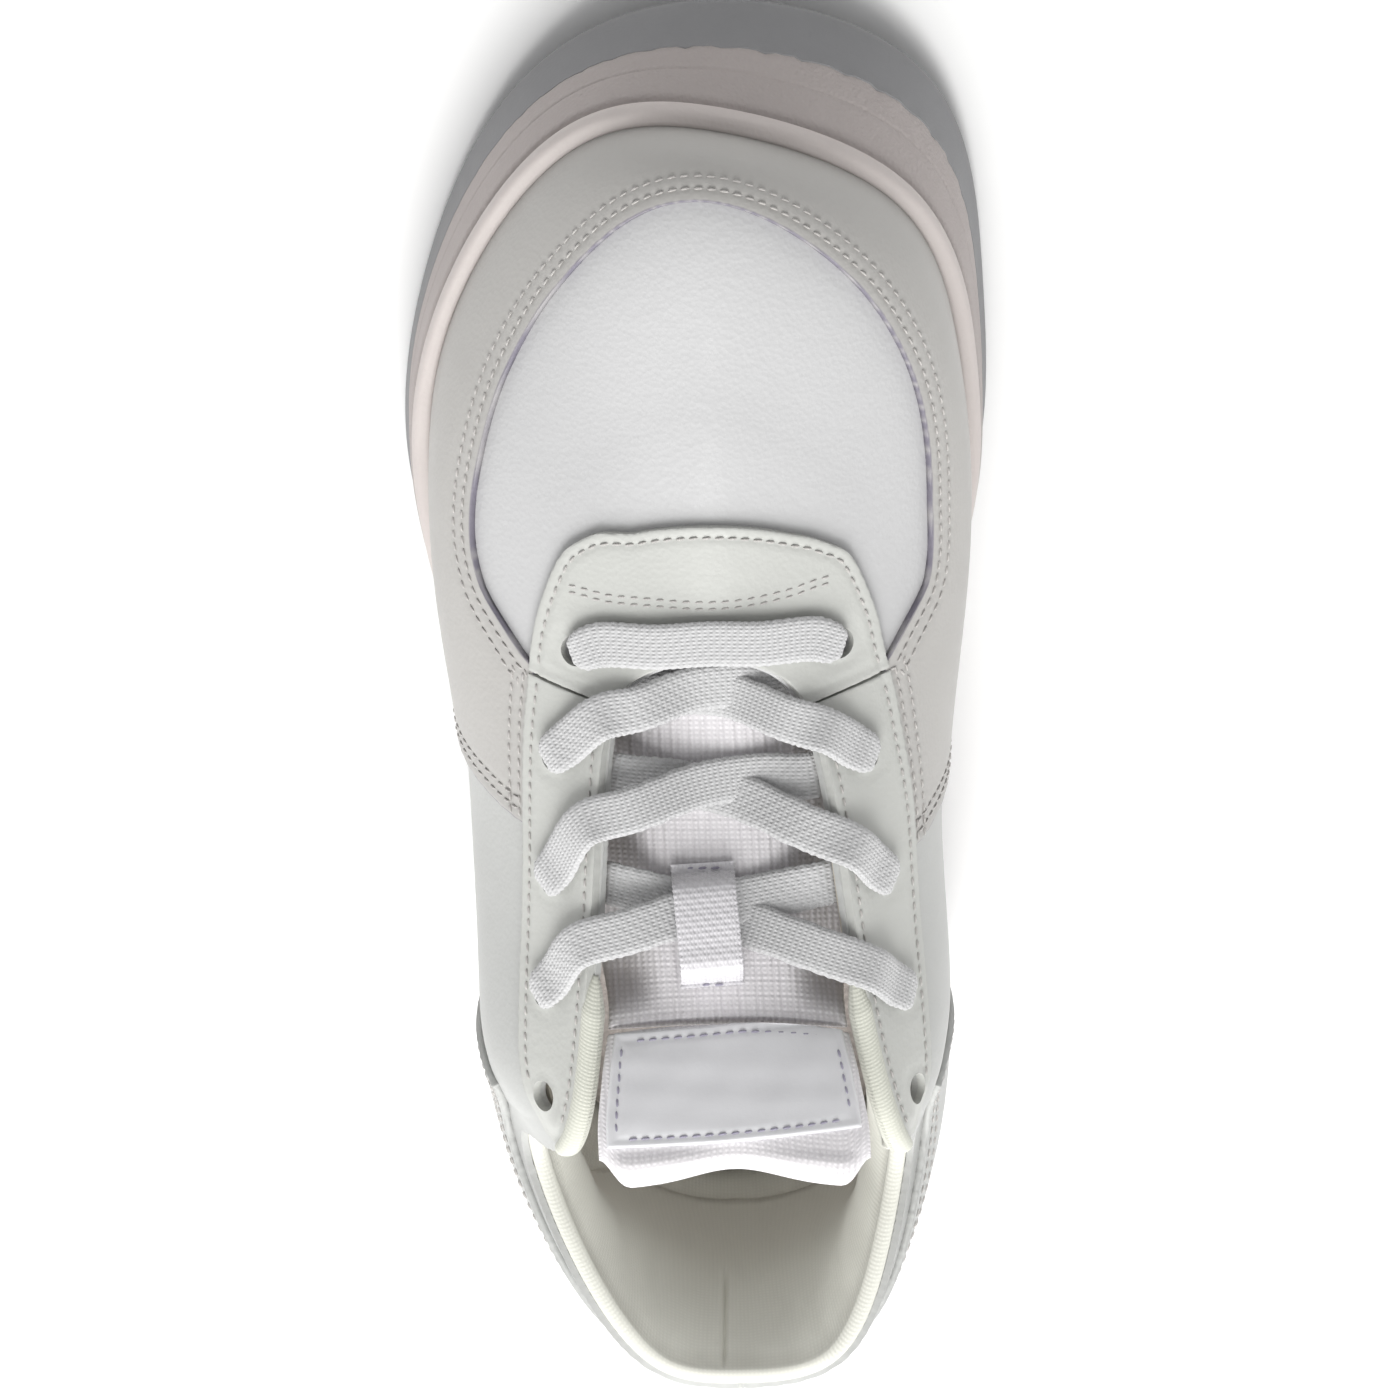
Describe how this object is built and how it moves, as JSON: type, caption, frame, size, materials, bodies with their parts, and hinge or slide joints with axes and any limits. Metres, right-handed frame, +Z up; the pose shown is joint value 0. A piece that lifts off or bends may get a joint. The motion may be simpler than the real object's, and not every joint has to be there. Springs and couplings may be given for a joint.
{
  "type": "child's court sneaker",
  "caption": "Low white lace-up court sneaker for a child's left foot, with a cup sole, padded collar and padded tongue.",
  "frame": {"origin": "the sole_bottom mount: on the ground, at the middle of the flat face the shoe stands on", "axes": "+Y to the toe, +Z up, +X to the inner (medial) side of a left foot"},
  "size_m": [0.095, 0.2217, 0.106],
  "materials": {
    "grey_rubber": "smooth matt grey rubber",
    "sole_rubber": "fine grained off-white rubber",
    "foam": "closed cell foam, hidden inside the sole",
    "board": "pressed fibre board, hidden",
    "sock_fabric": "dark brown grey brushed fabric",
    "white_leather": "smooth white coated leather",
    "side_leather": "smooth white coated leather, slightly cooler",
    "stiffener": "thermoplastic sheet, hidden",
    "lining": "ribbed warm grey lining mesh",
    "mesh": "ribbed white mesh",
    "label_film": "plain satin tongue label",
    "lace": "woven flat cotton lace",
    "aglet": "clear crimped film"
  },
  "bodies": {
    "shoe": {"outsole": "grey_rubber", "cupsole": "sole_rubber", "midsole_foam": "foam", "insole_board": "board", "sockliner": "sock_fabric", "vamp": "white_leather", "quarter_medial": "side_leather", "quarter_lateral": "side_leather", "mudguard": "side_leather", "throat_tab": "white_leather", "eyestay_medial": "white_leather", "eyestay_lateral": "white_leather", "eyelet_stay_medial": "stiffener", "eyelet_stay_lateral": "stiffener", "heel_foxing": "side_leather", "heel_tab": "white_leather", "toe_puff": "stiffener", "heel_counter": "stiffener", "vamp_lining": "lining", "quarter_lining": "lining", "collar_padding": "lining", "tongue_lower": "mesh", "lace_keeper": "mesh", "shoelace": "lace", "aglet_lateral": "aglet", "aglet_medial": "aglet"},
    "tongue_top": {"tongue_upper": "mesh", "tongue_label": "label_film"}
  },
  "joints": [
    {"name": "tongue_flex", "type": "hinge", "parent": "shoe", "child": "tongue_top", "pos_m": [0.0036, -0.0348, 0.0824], "axis": [1, 0, 0], "range_deg": [-10, 30], "stiffness_Nm_per_rad": 0.06}
  ]
}
